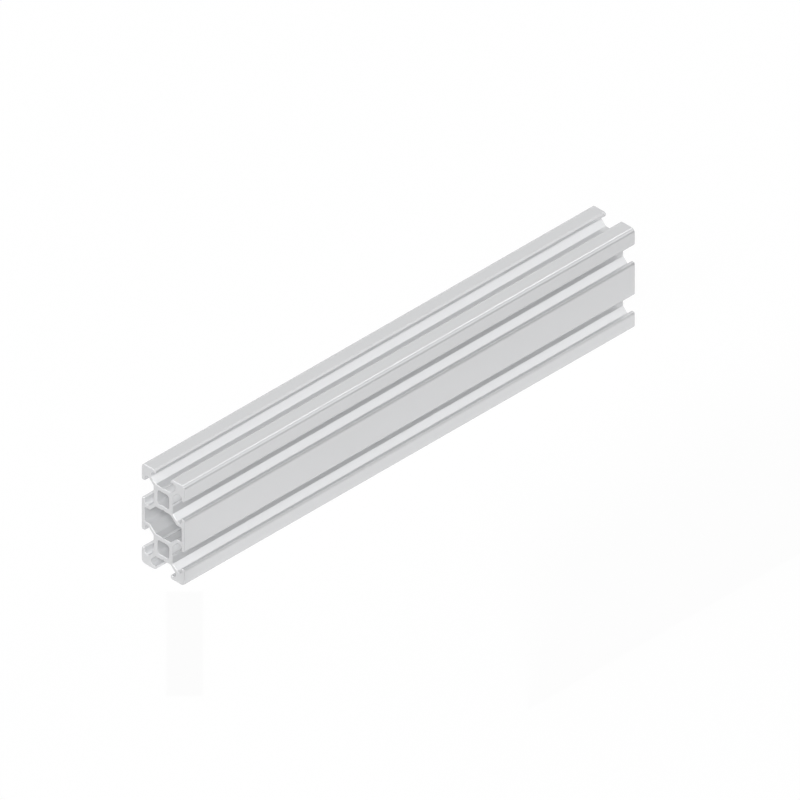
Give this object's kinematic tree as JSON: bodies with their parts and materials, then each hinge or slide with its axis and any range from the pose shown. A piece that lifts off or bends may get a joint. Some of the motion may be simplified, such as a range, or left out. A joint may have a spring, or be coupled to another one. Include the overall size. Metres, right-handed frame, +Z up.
{
  "type": "aluminium extrusion profile",
  "caption": "Straight length of aluminium T-slot extrusion, twice as tall as wide, with a T-slot in each module side, square core channels and a closed chamber between the cores.",
  "frame": {"origin": "middle of the underside, halfway along the bar", "axes": "+X along the bar, away from the end that faces the viewer; +Y across its narrow width; +Z up, along the tall side of the section"},
  "size_m": [0.42, 0.04, 0.08],
  "materials": {
    "anodised_aluminium": "satin natural anodised, clean"
  },
  "bodies": {
    "root": {"extruded_profile": "anodised_aluminium"}
  },
  "joints": []
}
